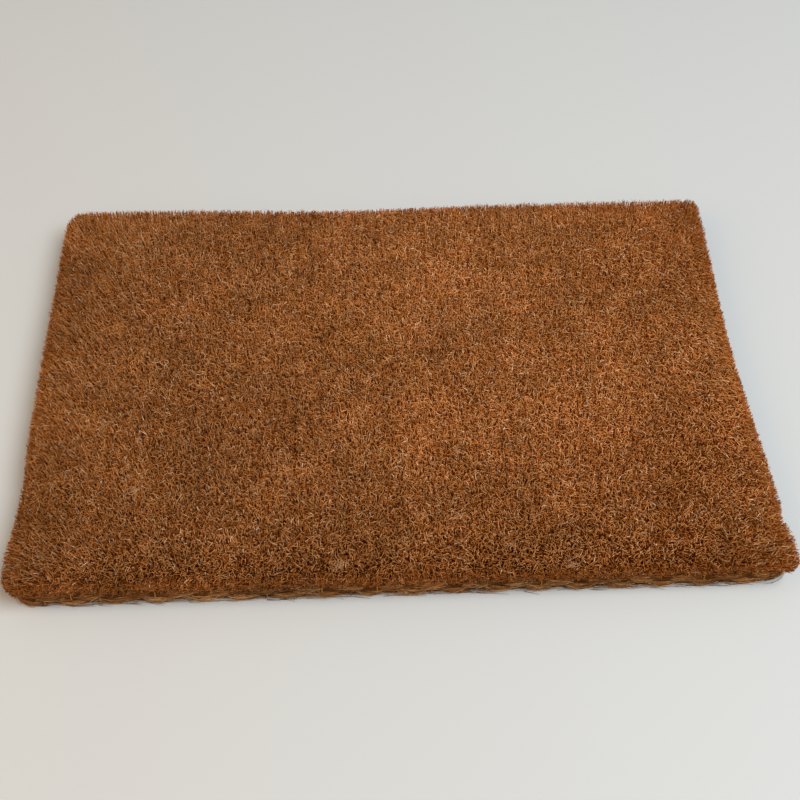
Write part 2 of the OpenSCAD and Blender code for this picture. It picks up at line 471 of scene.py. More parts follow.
@dataclass(frozen=True)
class Graph:
    """The nodes of one material and how they are joined."""

    material: bpy.types.Material

    @classmethod
    def begin(cls, name: str, roughness: float) -> "Graph":
        """Start a material.

        Args:
            name: The material's name.
            roughness: Roughness of its surface.

        Returns:
            The new material's nodes.
        """
        material = bpy.data.materials.new(name)
        material.use_nodes = True
        graph = cls(material)
        graph.shader.inputs["Roughness"].default_value = roughness
        return graph

    @property
    def shader(self) -> bpy.types.Node:
        """Return the node of the surface."""
        return self.material.node_tree.nodes["Principled BSDF"]

    def node(self, kind: str, **settings: str) -> bpy.types.Node:
        """Add a node.

        Args:
            kind: The node's kind, without the prefix that all kinds share.
            **settings: What to set on the node.

        Returns:
            The new node.
        """
        node = self.material.node_tree.nodes.new(f"ShaderNode{kind}")
        for name, value in settings.items():
            setattr(node, name, value)
        return node

    def join(self, output: bpy.types.NodeSocket, node: bpy.types.Node, name: str | int) -> None:
        """Join an output to an input of a node."""
        self.material.node_tree.links.new(output, node.inputs[name])

    def attribute(self, name: str) -> bpy.types.Node:
        """Return a new node that reads one of the mesh's attributes."""
        return self.node("Attribute", attribute_name=name)

    def blend(self, share: bpy.types.NodeSocket) -> bpy.types.Node:
        """Add a blend of two colours.

        Args:
            share: Share of the second colour.

        Returns:
            The new node, with its two colours still to be set.
        """
        mix = self.node("Mix", data_type="RGBA")
        self.join(share, mix, "Factor")
        return mix

    def noise(self, place: bpy.types.NodeSocket, scale: float, detail: float) -> bpy.types.NodeSocket:
        """Add noise.

        Args:
            place: Where each point lies.
            scale: Number of its clouds in a metre.
            detail: How many finer layers it has.

        Returns:
            The noise's value.
        """
        noise = self.node("TexNoise")
        noise.inputs["Scale"].default_value = scale
        noise.inputs["Detail"].default_value = detail
        self.join(place, noise, "Vector")
        return noise.outputs["Fac"]

    def grain(self) -> bpy.types.NodeSocket:
        """Make noise that is drawn out along the yarn, as its fibres are.

        Returns:
            The noise's value.
        """
        stretch = self.node("Mapping")
        stretch.inputs["Scale"].default_value = (1000.0, 1000.0, 60.0)
        self.join(self.attribute("grain").outputs["Vector"], stretch, "Vector")
        return self.noise(stretch.outputs["Vector"], 1.0, 4.0)

    def mapped(self, value: bpy.types.NodeSocket, low: float, high: float,
               start: float = 0.0, stop: float = 1.0) -> bpy.types.NodeSocket:
        """Map a value from one range to another.

        Args:
            value: The value to map.
            low: Result at start.
            high: Result at stop.
            start: Lower end of the value.
            stop: Upper end of the value.

        Returns:
            The mapped value.
        """
        node = self.node("MapRange")
        for name, level in (("From Min", start), ("From Max", stop), ("To Min", low), ("To Max", high)):
            node.inputs[name].default_value = level
        self.join(value, node, "Value")
        return node.outputs["Result"]

    def scaled(self, colour: bpy.types.NodeSocket, level: bpy.types.NodeSocket) -> bpy.types.NodeSocket:
        """Scale a colour by a level.

        Args:
            colour: The colour to scale.
            level: How bright it comes out.

        Returns:
            The scaled colour.
        """
        node = self.node("VectorMath", operation="SCALE")
        self.join(colour, node, 0)
        self.join(level, node, "Scale")
        return node.outputs["Vector"]


@dataclass(frozen=True)
class CoirFinish:
    """Matt coconut fibre, with a tint for each fibre, slow changes over the mat, and painted shade towards
    the roots and towards the mat's left and front.
    """

    name: str
    ramp: tuple[tuple[float, str], ...]
    # deep: colour of the painted shade at the roots; root_shade: how much of the fibre's own colour is
    # left there
    deep: str = "421c04"
    root_shade: float = 0.5
    # strength of the painted shade towards the mat's left and front, where less light falls
    painted_falloff_shade: float = 0.0
    blotch: float = 0.16
    streak: float = 0.0
    bump: float = 0.0
    gloss: float = 0.0
    roughness: float = 0.8

    def material(self) -> bpy.types.Material:
        """Build the finish as a material.

        Returns:
            The new material.
        """
        graph = Graph.begin(self.name, self.roughness)
        graph.shader.inputs["Specular IOR Level"].default_value = self.gloss
        colour = self.shaded(graph, self.tinted(graph))
        place = graph.node("TexCoord").outputs["Object"]
        # painted shade: darker towards the left and the front of the mat
        if self.painted_falloff_shade > 0:
            colour = graph.scaled(colour, self.painted_falloff_level(graph, place))
        for scale, part in ((9.0, 0.7), (34.0, 0.7), (90.0, 0.6)):
            cloud = graph.noise(place, scale, 2.0)
            depth = part * self.blotch
            colour = graph.scaled(colour, graph.mapped(cloud, 1 - depth, 1 + depth, 0.3, 0.7))
        if self.streak > 0:
            noise = graph.grain()
            level = graph.mapped(noise, 1 - self.streak, 1 + self.streak, 0.3, 0.7)
            colour = graph.scaled(colour, level)
            self.roughen(graph, noise)
        graph.join(colour, graph.shader, "Base Color")
        return graph.material

    def tinted(self, graph: Graph) -> bpy.types.NodeSocket:
        """Colour each fibre by its tint.

        Args:
            graph: The material's nodes.

        Returns:
            The colour.
        """
        ramp = graph.node("ValToRGB")
        elements = ramp.color_ramp.elements
        while len(elements) < len(self.ramp):
            elements.new(0.5)
        for element, (place, code) in zip(elements, self.ramp):
            element.position = place
            element.color = linear(code)
        graph.join(graph.attribute("tint").outputs["Fac"], ramp, "Fac")
        return ramp.outputs["Color"]

    def shaded(self, graph: Graph, colour: bpy.types.NodeSocket) -> bpy.types.NodeSocket:
        """Paint shade on the fibres towards their roots, deep in the brush where little light reaches.

        Args:
            graph: The material's nodes.
            colour: The colour at the tips.

        Returns:
            The colour all along.
        """
        # painted shade: blend from the deep colour at the root to the fibre's own colour at the tip
        along = graph.attribute("along").outputs["Fac"]
        mix = graph.blend(graph.mapped(along, self.root_shade, 1.0))
        mix.inputs["A"].default_value = linear(self.deep)
        graph.join(colour, mix, "B")
        return mix.outputs["Result"]

    def painted_falloff_level(self, graph: Graph, place: bpy.types.NodeSocket) -> bpy.types.NodeSocket:
        """Give the painted shade that darkens the mat towards its left and its front, where less light
        falls.

        Args:
            graph: The material's nodes.
            place: Where each point lies on the mat.

        Returns:
            The level that the colour is scaled by.
        """
        axes = graph.node("SeparateXYZ")
        graph.join(place, axes, "Vector")
        least = graph.node("Math", operation="MINIMUM")
        for socket, (axis, start, stop) in enumerate((("X", -0.28, 0.02), ("Y", -0.2, -0.06))):
            level = graph.mapped(axes.outputs[axis], 1 - self.painted_falloff_shade, 1.0, start, stop)
            graph.join(level, least, socket)
        return least.outputs["Value"]

    def roughen(self, graph: Graph, noise: bpy.types.NodeSocket) -> None:
        """Raise the streaks of the yarn from its surface.

        Args:
            graph: The material's nodes.
            noise: The streaks.
        """
        if self.bump > 0:
            bump = graph.node("Bump")
            bump.inputs["Strength"].default_value = self.bump
            bump.inputs["Distance"].default_value = 0.6 * MM
            graph.join(noise, bump, "Height")
            graph.join(bump.outputs["Normal"], graph.shader, "Normal")


@dataclass(frozen=True)
class PlainFinish:
    """An even matt surface with a faint mottle, for what the mat lies on."""

    name: str
    light: str
    dark: str
    roughness: float = 0.6

    def material(self) -> bpy.types.Material:
        """Build the finish as a material.

        Returns:
            The new material.
        """
        graph = Graph.begin(self.name, self.roughness)
        place = graph.node("TexCoord").outputs["Object"]
        mix = graph.blend(graph.noise(place, 1.5, 2.0))
        mix.inputs["A"].default_value = linear(self.light)
        mix.inputs["B"].default_value = linear(self.dark)
        graph.join(mix.outputs["Result"], graph.shader, "Base Color")
        return graph.material


# Painted shade: the pile darkens towards its fibres' roots and towards the mat's left and front.
PILE_FINISH = CoirFinish(
    "cut_coir",
    ramp=((0.0, "7e441a"), (0.25, "a25c28"), (0.5, "c07b42"), (0.78, "d09866"), (1.0, "e6be96")),
    deep="581e00", root_shade=0.3, blotch=0.18, streak=0.5, painted_falloff_shade=0.27,
)
YARN_FINISH = CoirFinish(
    "twisted_coir",
    ramp=((0.0, "7f4e22"), (0.5, "bd8044"), (1.0, "e4b57c")),
    root_shade=0.8, blotch=0.1, streak=0.3, bump=0.5,
)
PLAIT_FINISH = CoirFinish(
    "plaited_coir",
    ramp=((0.0, "4a270f"), (0.5, "885830"), (1.0, "cca070")),
    deep="341a08", root_shade=0.4, blotch=0.2, streak=0.6, bump=0.8,
)
TWINE_FINISH = CoirFinish(
    "sewing_twine",
    ramp=((0.0, "955c28"), (1.0, "c48a4c")),
    root_shade=0.9, blotch=0.1, streak=0.25, bump=0.4,
)
FLOOR_FINISH = PlainFinish("pale_floor", light="b4b4b3", dark="b0b0ae")


# ---------------------------------------------------------------- pile


@dataclass(frozen=True)
class Dent:
    """A stretch of the mat's outline that has drawn in, or out where its depth is negative."""

    side: tuple[int, int]
    middle: float
    reach: float
    depth: float
    sharpness: int = 7

    def shift(self, places: Array, half: Array) -> Array:
        """Give how far the dent moves each place on top of the mat.

        Args:
            places: Places along and across the mat.
            half: Half the mat's length and depth.

        Returns:
            The movement along and across the mat.
        """
        side = np.array(self.side)
        level = places / half
        facing = np.clip(level @ side, 0, 1.1) ** self.sharpness
        beside = places[:, 1] if side[0] else places[:, 0]
        bell = np.exp(-((beside - self.middle) / self.reach) ** 2)
        return -side * (self.depth * facing * bell)[:, None]


DENTS = (
    Dent(side=(1, 0), middle=0.01, reach=0.11, depth=6.0 * MM),
    Dent(side=(1, 0), middle=-0.183, reach=0.016, depth=-2.5 * MM),
    Dent(side=(1, 0), middle=-0.155, reach=0.006, depth=2.5 * MM),
    Dent(side=(0, 1), middle=-0.045, reach=0.10, depth=5.0 * MM),
    Dent(side=(-1, 0), middle=-0.11, reach=0.035, depth=2.5 * MM),
    Dent(side=(-1, 0), middle=-0.175, reach=0.02, depth=-1.5 * MM),
)


class Flaw(Enum):
    """What can be amiss at one spot of the brush."""

    CLUMP = "a clump of pale fibres"
    CURL = "a few long pale fibres that run together"
    # its fibres also take painted shade
    HOLLOW = "a spot that is pressed in"

    @property
    def spread(self) -> float:
        """Return how unalike the headings of its fibres are."""
        return 0.9 if self is Flaw.CLUMP else 0.15


@dataclass(frozen=True)
class Spot:
    """One flaw in the brush, and where it is."""

    kind: Flaw
    place: tuple[float, float]
    reach: float
    fibres: int = 1
    heading: float = 0.0


SPOTS = (
    Spot(Flaw.CLUMP, (-0.208, -0.113), 4 * MM, fibres=16, heading=0.6),
    Spot(Flaw.CLUMP, (-0.048, -0.185), 4 * MM, fibres=22, heading=1.7),
    Spot(Flaw.CLUMP, (0.128, -0.191), 4 * MM, fibres=16),
    Spot(Flaw.CLUMP, (0.083, -0.172), 3 * MM, fibres=9, heading=1.2),
    Spot(Flaw.CLUMP, (0.045, -0.145), 2.5 * MM, fibres=6, heading=2.2),
    Spot(Flaw.CLUMP, (0.213, -0.175), 2 * MM, fibres=7),
    Spot(Flaw.CLUMP, (-0.265, -0.190), 1.2 * MM, fibres=5),
    Spot(Flaw.CURL, (0.172, 0.065), 8 * MM, fibres=3, heading=0.9),
    Spot(Flaw.CURL, (0.136, -0.150), 7 * MM, fibres=4, heading=1.2),
    Spot(Flaw.CURL, (0.242, -0.187), 5 * MM, fibres=4, heading=-0.2),
    Spot(Flaw.CURL, (0.272, -0.196), 4 * MM, fibres=3, heading=0.4),
    Spot(Flaw.HOLLOW, (0.215, -0.169), 5 * MM),
    Spot(Flaw.HOLLOW, (-0.084, -0.052), 4 * MM),
    Spot(Flaw.HOLLOW, (-0.175, -0.193), 4 * MM),
    Spot(Flaw.HOLLOW, (-0.063, -0.192), 3 * MM),
)


@dataclass
class Pile:
    """The brush of the mat: rows of cut fibres on packed cores that are painted dark as shade, bound in
    tufts at the root.

    The radii of the lying fibres, and of the front and the back corner at either end, are in millimetres.
    """

    layout: Layout
    material: bpy.types.Material
    spacing: float = 1.57 * MM
    rim_count: int = 14_000
    stray_count: int = 2600
    root_z: float = 16.4 * MM
    core_top: float = 17.6 * MM
    core_waist: float = 15 * MM
    core_foot: float = 14.2 * MM
    core_half_foot: float = 3.3 * MM
    core_narrowing: float = 2.3 * MM
    core_end: float = 1.5 * MM
    core_lean: float = 0.55
    tuft_radius: float = 3.2 * MM
    tuft_stretch: float = 1.35
    tuft_overlap: float = 0.6 * MM
    tuft_side_gap: float = 0.4 * MM
    tuft_gap: float = 0.3 * MM
    channel_radius: float = 1.75 * MM
    tuft_wall: float = 0.42
    fibre_radius: float = 0.28 * MM
    fibre_girths: tuple[float, ...] = (1.0, 2.1, 0.0)
    # share from root to tip at the root, bend and tip of a cut fibre, which sets its painted root shade
    fibre_shades: tuple[float, ...] = (0.0, 0.75, 1.0)
    lying_radii: tuple[float, float] = (0.13, 0.24)
    tilt: float = 2.2 * MM
    bend: float = 2.5 * MM
    middle_tint: float = 0.46
    tint_spread: float = 0.19
    pale_share: float = 0.05
    pale_lift: float = 0.35
    top_drop: float = 0.8 * MM
    swell: float = 0.7 * MM
    rim_foot: float = 1.8 * MM
    rim_inset: float = 3.8 * MM
    rim_spread: float = 1.2 * MM
    # painted shade on the fibres of the brush's sides
    rim_shade: float = 0.12
    undercut: float = 0.011
    hollow_depth: float = 4 * MM
    # reach of the painted shade in from the outline
    edge_reach: float = 6 * MM
    clump: float = 4 * MM
    clump_grid: tuple[int, int] = (180, 130)
    left_corner_radii: tuple[int, int] = (14, 24)
    right_corner_radii: tuple[int, int] = (9, 12)
    dents: tuple[Dent, ...] = DENTS
    flaws: tuple[Spot, ...] = SPOTS
    seed: int = 11

    def __post_init__(self) -> None:
        """Model the shapes that the rows are made of, and draw how the fibres clump."""
        self.random = np.random.default_rng(self.seed)
        self.clump_leans = self.random.normal(0, 0.5 * MM, (*self.clump_grid, 2))
        self.clump_tints = self.random.normal(0, 0.02, self.clump_grid)
        self.fibre = model_rod(3, 1, tip_radius=0.0)
        self.long_fibre = model_rod(3, 5, tip_radius=0.3)
        self.core = model_rod(10, 7, 9)
        self.tuft = model_sleeve(sides=10, wall=self.tuft_wall)

    def rows(self, pair: int) -> bpy.types.Object:
        """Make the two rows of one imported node.

        Args:
            pair: The pair's number, from 0.

        Returns:
            The rows as one piece.
        """
        bundle = Bundle(f"brush_rows_{pair + 1:02d}")
        for row in (2 * pair, 2 * pair + 1):
            self.add_core(bundle, row)
            self.add_tufts(bundle, row)
            self.add_fibres(bundle, row)
            self.add_rim(bundle, row)
            self.add_strays(bundle, row)
            self.add_flaws(bundle, row)
        return bundle.build(self.material)

    def add_core(self, bundle: Bundle, row: int) -> None:
        """Add a row's packed core, which carries the fibres and closes the brush below them.

        Args:
            bundle: The piece that is being made.
            row: The row's number.
        """
        lay = self.layout
        section, turn = self.core.points[:, :2], self.core.points[:, 2]
        square = np.sign(section) * np.abs(section) ** 0.6
        height = (square[:, 1] + 1) / 2
        z = self.core_foot + height * (self.core_top - self.core_foot)
        half_width = self.core_half_foot + (lay.pitch / 2 - self.core_narrowing) * np.sqrt(height)
        x = lay.row_middle(row) + square[:, 0] * half_width
        y = (2 * turn - 1) * (lay.root_half_y + self.core_end)
        tip_x, tip_y = lay.fan(x, y)
        lean = self.core_lean * np.clip((z - self.core_waist) / (self.core_top - self.core_waist), 0, 1)
        lump = self.random.normal(0, 0.5 * MM, len(z)) * (height > 0.5)
        points = np.stack([x + lean * (tip_x - x), y + lean * (tip_y - y), z + lump], axis=1)
        # painted shade: the core takes almost the deep colour of the roots
        bundle.add(self.core, points[None], np.full(1, 0.3), np.full(len(z), 0.05), share=0.05)

    def add_tufts(self, bundle: Bundle, row: int) -> None:
        """Add the bound tufts that wrap a row's weft, one between each two binder yarns.

        Args:
            bundle: The piece that is being made.
            row: The row's number.
        """
        lay = self.layout
        gap = lay.binder_radius + self.tuft_gap
        edges = (-lay.root_half_y, *lay.warp_places, lay.root_half_y)
        starts = np.array([edges[0], *(place + gap for place in lay.warp_places)])
        stops = np.array([*(place - gap for place in lay.warp_places), edges[-1]])
        section, turn = self.tuft.points[:, :2], self.tuft.points[:, 2]
        outer = np.hypot(section[:, 0], section[:, 1]) > 0.8
        channel = section * self.channel_radius / (1 - self.tuft_wall)
        outer_z = lay.weft_z + section[:, 1] * self.tuft_radius * self.tuft_stretch
        outer_z = np.where(section[:, 1] > 0.5, self.core_foot + self.tuft_overlap, outer_z)
        z = np.where(outer, outer_z, lay.weft_z + channel[:, 1])
        x = np.where(outer, section[:, 0] * (lay.pitch / 2 - self.tuft_side_gap), channel[:, 0])
        copies = len(starts)
        swell = 1 + self.random.normal(0, 0.05, (copies, 1))
        points = np.empty((copies, len(z), 3))
        points[..., 0] = lay.row_middle(row) + x * swell
        points[..., 1] = starts[:, None] + turn * (stops - starts)[:, None]
        points[..., 2] = z
        tint = self.random.uniform(0.2, 0.5, copies)
        grain = np.stack([points[..., 1], 0.1 * points[..., 0], points[..., 2]], axis=-1)
        # painted shade: the tufts under the brush take part of the root colour
        bundle.add(self.tuft, points, tint, np.full(len(z), 0.6), grain, share=0.05)

    def add_fibres(self, bundle: Bundle, row: int) -> None:
        """Add the cut fibres that stand up from a row.

        Args:
            bundle: The piece that is being made.
            row: The row's number.
        """
        lay = self.layout
        left, right = lay.row_tops(row)
        columns = max(4, round((right - left) / self.spacing))
        lines = round(2 * lay.half_depth / self.spacing)
        cell = np.stack(np.meshgrid(np.arange(columns), np.arange(lines)), axis=-1).reshape(-1, 2)
        count = len(cell)
        share = (cell + self.random.uniform(-0.1, 1.1, (count, 2))) / (columns, lines)
        crest = np.stack([left + share[:, 0] * (right - left),
                          (2 * share[:, 1] - 1) * lay.half_depth], axis=1)
        lean, shade = self.clumping(*crest.T)
        below = lay.root_below(crest) - self.random.normal(0, self.tilt, (count, 2)) - lean
        root_xy = below + 0.6 * (crest - below)
        root = np.column_stack([root_xy, np.full(count, self.root_z)])
        beside = np.abs(2 * share[:, 0] - 1) ** 2
        rise = np.clip(self.random.normal(0, 0.8 * MM, count), -2.2 * MM, 1.0 * MM)
        z = lay.height - self.top_drop - MM * beside + rise + self.swell * self.swell_field(*crest.T)
        depth = self.hollows(crest)
        inside = np.min((lay.half_length, lay.half_depth) - np.abs(crest), axis=1)
        # Painted shade: fibres are darker at the sides of each row, in the pressed-in hollows and near the
        # mat's outline.
        shadow = depth + np.exp(-inside / self.edge_reach)
        tint = self.tints(count) + shade - 0.05 * beside - 0.3 * shadow
        self.add_blades(bundle, root, crest, z - self.hollow_depth * depth, tint)

    def add_rim(self, bundle: Bundle, row: int) -> None:
        """Add the fibres that close the brush's sides at the ends of a row and at the outer rows.

        Args:
            bundle: The piece that is being made.
            row: The row's number.
        """
        lay = self.layout
        left, right = lay.row_tops(row)
        per_length = self.rim_count / (4 * (lay.half_length + lay.half_depth))
        for side in (-1, 1):
            count = int(per_length * (right - left))
            tip = np.stack([self.random.uniform(left, right, count),
                            np.full(count, side * lay.half_depth)], axis=1)
            root = lay.root_below(tip)
            root[:, 0] = 0.6 * root[:, 0] + 0.4 * tip[:, 0]
            self.add_rim_blades(bundle, root + (0, side * self.core_end), tip)
        outer = {0: -1, lay.row_count - 1: 1}.get(row)
        if outer is not None:
            count = int(per_length * 2 * lay.half_depth)
            tip = np.stack([np.full(count, outer * lay.half_length),
                            self.random.uniform(-1, 1, count) * lay.half_depth], axis=1)
            root = lay.root_below(tip)
            root[:, 1] = 0.6 * root[:, 1] + 0.4 * tip[:, 1]
            self.add_rim_blades(bundle, root + (outer * self.core_end, 0), tip)

    def add_rim_blades(self, bundle: Bundle, root_xy: Array, tip_xy: Array) -> None:
        """Add fibres from the side of the brush's core out to its rim, at all heights.

        Args:
            bundle: The piece that is being made.
            root_xy: Where the fibres start, along and across the mat.
            tip_xy: Where they reach the rim.
        """
        lay, count = self.layout, len(root_xy)
        height = self.random.uniform(0, 1, (count, 1))
        span = lay.height - lay.plait_height - self.rim_inset
        tip_z = lay.plait_height + self.rim_foot + height * span
        root_z = lay.plait_height + 0.4 * MM + height * 4.0 * MM
        lean, shade = self.clumping(*tip_xy.T)
        undercut = 1 - self.undercut * (1 - height)
        crest = tip_xy * undercut + self.random.normal(0, self.rim_spread, (count, 2)) + lean
        # painted shade: the fibres of the brush's sides are darkened
        tints = self.tints(count) + shade - self.rim_shade
        self.add_blades(bundle, np.hstack([root_xy, root_z]), crest, tip_z[:, 0], tints)

    def add_strays(self, bundle: Bundle, row: int) -> None:
        """Add long curled fibres that lie across the top of the brush.

        Args:
            bundle: The piece that is being made.
            row: The row's number.
        """
        lay = self.layout
        count = self.stray_count // lay.row_count
        x = self.random.uniform(*lay.row_tops(row), count)
        x = np.clip(x, -0.97 * lay.half_length, 0.97 * lay.half_length)
        y = self.random.uniform(-0.96, 0.96, count) * lay.half_depth
        heading = self.random.uniform(0, TAU, count)
        length = np.where(self.random.uniform(0, 1, count) < 0.1, 15, 8) * MM
        length = length * self.random.uniform(0.6, 1.2, count)
        turn = self.random.normal(0, 1.2, count)
        tint = np.clip(self.random.normal(0.56, 0.18, count), 0, 1)
        self.add_lying(bundle, np.stack([x, y], axis=1), heading, length, turn, tint)

    def add_lying(self, bundle: Bundle, middle: Array, heading: Array, length: Array, turn: Array,
                  tint: Array) -> None:
        """Add curled fibres that rise a little out of the brush and lie along its top.

        Args:
            bundle: The piece that is being made.
            middle: The fibres' middles, along and across the mat.
            heading: Which way each fibre runs.
            length: The fibres' lengths.
            turn: How far round each one curls.
            tint: The fibres' tints.
        """
        share = self.long_fibre.points[:, 2]
        angle = heading[:, None] + turn[:, None] * (share[None, :] - 0.5)
        reach = length[:, None] * (share[None, :] - 0.5)
        arch = 1 - (2 * share[None, :] - 1) ** 2
        lift = self.random.uniform(0.3, 1.3, (len(length), 1)) * MM
        radius = self.random.uniform(*self.lying_radii, (len(length), 1)) * MM
        section = self.long_fibre.points[:, :2]
        x = middle[:, :1] + reach * np.cos(angle) - radius * section[:, 0] * np.sin(angle)
        y = middle[:, 1:] + reach * np.sin(angle) + radius * section[:, 0] * np.cos(angle)
        z = self.layout.height - 2.0 * MM + (lift + MM) * arch + radius * section[:, 1]
        points = np.stack([x, y, z], axis=-1)
        bundle.add(self.long_fibre, points, tint, np.full(len(share), 1.0), np.zeros(3), share=0.06)

    def add_blades(self, bundle: Bundle, root: Array, crest: Array, height: Array,
                   tint: Array) -> None:
        """Add cut fibres that rise from their roots and bend over near their tips.

        Args:
            bundle: The piece that is being made.
            root: Where each fibre starts.
            crest: Where each fibre bends over, along and across the mat.
            height: Height of each fibre's tip.
            tint: Tint of each fibre.
        """
        count = len(root)
        crest = self.hold_inside(crest, -0.6 * MM)
        tip = self.hold_inside(crest + self.random.normal(0, self.bend, (count, 2)), 0.5 * MM)
        drop = self.random.uniform(0.2, 2.2, count) * MM
        line = np.stack([
            root,
            np.column_stack([crest, height - drop]),
            np.column_stack([tip, height]),
        ], axis=1)
        forward = line[:, 1] - line[:, 0]
        forward /= np.linalg.norm(forward, axis=1, keepdims=True)
        side = np.cross(forward, ASKEW)
        side /= np.linalg.norm(side, axis=1, keepdims=True)
        other = np.cross(forward, side)
        ring = np.rint(2 * self.fibre.points[:, 2]).astype(int)
        girth = np.array(self.fibre_girths)[ring]
        section = self.fibre.points[:, :2] * girth[:, None]
        radius = self.fibre_radius * self.random.uniform(0.65, 1.4, (count, 1, 1))
        points = (
            line[:, ring]
            + side[:, None] * (section[None, :, :1] * radius)
            + other[:, None] * (section[None, :, 1:] * radius)
        )
        # painted shade: each cut fibre darkens from its tip towards its root
        depth = np.array(self.fibre_shades)[ring]
        bundle.add(self.fibre, points, np.clip(tint, 0, 1), depth, np.zeros(3), share=count / 2400)

    def hollows(self, places: Array) -> Array:
        """Give how deep the brush is pressed in.

        Args:
            places: Places on top of the brush, along and across the mat.

        Returns:
            The depth at each place, from 0 to 1.
        """
        depth = np.zeros(len(places))
        for flaw in self.flaws:
            if flaw.kind is Flaw.HOLLOW:
                away = np.linalg.norm(places - flaw.place, axis=1)
                depth += np.exp(-(away / flaw.reach) ** 2)
        return depth

    def add_flaws(self, bundle: Bundle, row: int) -> None:
        """Add the pale clumps and curls that lie on one row of the brush.

        Args:
            bundle: The piece that is being made.
            row: The row's number.
        """
        left, right = self.layout.row_tops(row)
        for flaw in self.flaws:
            if flaw.kind is not Flaw.HOLLOW and left <= flaw.place[0] < right:
                middle = self.random.normal(0, 0.6 * flaw.reach, (flaw.fibres, 2)) + flaw.place
                heading = self.random.normal(flaw.heading, flaw.kind.spread, flaw.fibres)
                length = 2 * flaw.reach * self.random.uniform(0.7, 1.2, flaw.fibres)
                turn = self.random.normal(1.2, 0.5, flaw.fibres)
                tint = self.random.uniform(0.7, 1.0, flaw.fibres)
                self.add_lying(bundle, middle, heading, length, turn, tint)

    def tints(self, count: int) -> Array:
        """Draw the tints of cut fibres: mostly middling, with a few dark and a few pale.

        Args:
            count: Number of fibres.

        Returns:
            Their tints.
        """
        tint = self.random.normal(self.middle_tint, self.tint_spread, count)
        pale = self.random.uniform(0, 1, count) < self.pale_share
        return np.where(pale, tint + self.pale_lift, tint)

    def hold_inside(self, places: Array, slack: float) -> Array:
        """Bring places past the mat's outline back to it, give or take a little.

        Args:
            places: Places along and across the mat.
            slack: How far past the outline they may be, on the whole.

        Returns:
            Where the places end up.
        """
        lay = self.layout
        half = np.array([lay.half_length, lay.half_depth])
        right, back = (places > 0).astype(int).T
        radius = np.array((self.left_corner_radii, self.right_corner_radii))[right, back] * MM
        away = np.maximum(np.abs(places) - (half - radius[:, None]), 0)
        reach = np.linalg.norm(away, axis=1)
        ragged = 0.8 * MM * np.sin(places[:, 0] * 610) * np.sin(places[:, 1] * 570)
        stray = np.clip(self.random.normal(0, 0.5 * MM, len(places)), -MM, MM)
        limit = radius + slack + ragged + stray
        ratio = np.minimum(1, limit / np.maximum(reach, 1e-9))
        held = places - np.sign(places) * away * (1 - ratio)[:, None]
        for dent in self.dents:
            held = held + dent.shift(held, half)
        return held

    def clumping(self, x: Array, y: Array) -> tuple[Array, Array]:
        """Give how neighbouring fibres lean together, and how their tint differs.

        Args:
            x: Places along the mat.
            y: Places across the mat.

        Returns:
            The lean along and across the mat, and the change of tint.
        """
        lay = self.layout
        drift = 1.5 * MM * np.sin(y * 410 + 3 * np.sin(x * 90))
        column = ((x + lay.half_length + drift) / self.clump).astype(int) % self.clump_grid[0]
        line = ((y + lay.half_depth + drift) / self.clump).astype(int) % self.clump_grid[1]
        return self.clump_leans[column, line], self.clump_tints[column, line]

    def swell_field(self, x: Array, y: Array) -> Array:
        """Give how the top of the brush rises and falls over the mat.

        Args:
            x: Places along the mat.
            y: Places across the mat.

        Returns:
            The rise at each place, from -1 to 1.
        """
        slow = np.sin(x * 21 + 1.5 * np.sin(y * 17 + 0.5)) * np.sin(y * 26 + 1.2)
        quick = np.sin(x * 88 + 2 * np.sin(y * 67)) * np.sin(y * 97 + 2 * np.sin(x * 71))
        return 0.5 * slow + 0.5 * quick


# ---------------------------------------------------------------- edging


class Turn(Enum):
    """How a stretch of the edging runs."""

    STRAIGHT = "straight"
    CORNER = "corner"


@dataclass(frozen=True)
class Stretch:
    """One stretch of the edging, run round the mat with its outer side on the right."""

    node: str
    turn: Turn
    start: tuple[float, float]
    heading: float
    length: float
    begin: float
    radius: float = 0.0

    def place(self, run: Array, out: Array, up: Array) -> Array:
        """Place points on the stretch.

        Args:
            run: Distance along the stretch.
            out: Distance outwards from its middle.
            up: Height over the floor.

        Returns:
            The points.
        """
        if self.turn is Turn.STRAIGHT:
            x = self.start[0] + run * math.cos(self.heading) + out * math.sin(self.heading)
            y = self.start[1] + run * math.sin(self.heading) - out * math.cos(self.heading)
            return np.stack([x, y, up], axis=-1)
        angle = self.heading - math.pi / 2 + run / self.radius
        centre_x = self.start[0] - self.radius * math.sin(self.heading)
        centre_y = self.start[1] + self.radius * math.cos(self.heading)
        x = centre_x + (self.radius + out) * np.cos(angle)
        y = centre_y + (self.radius + out) * np.sin(angle)
        return np.stack([x, y, up], axis=-1)


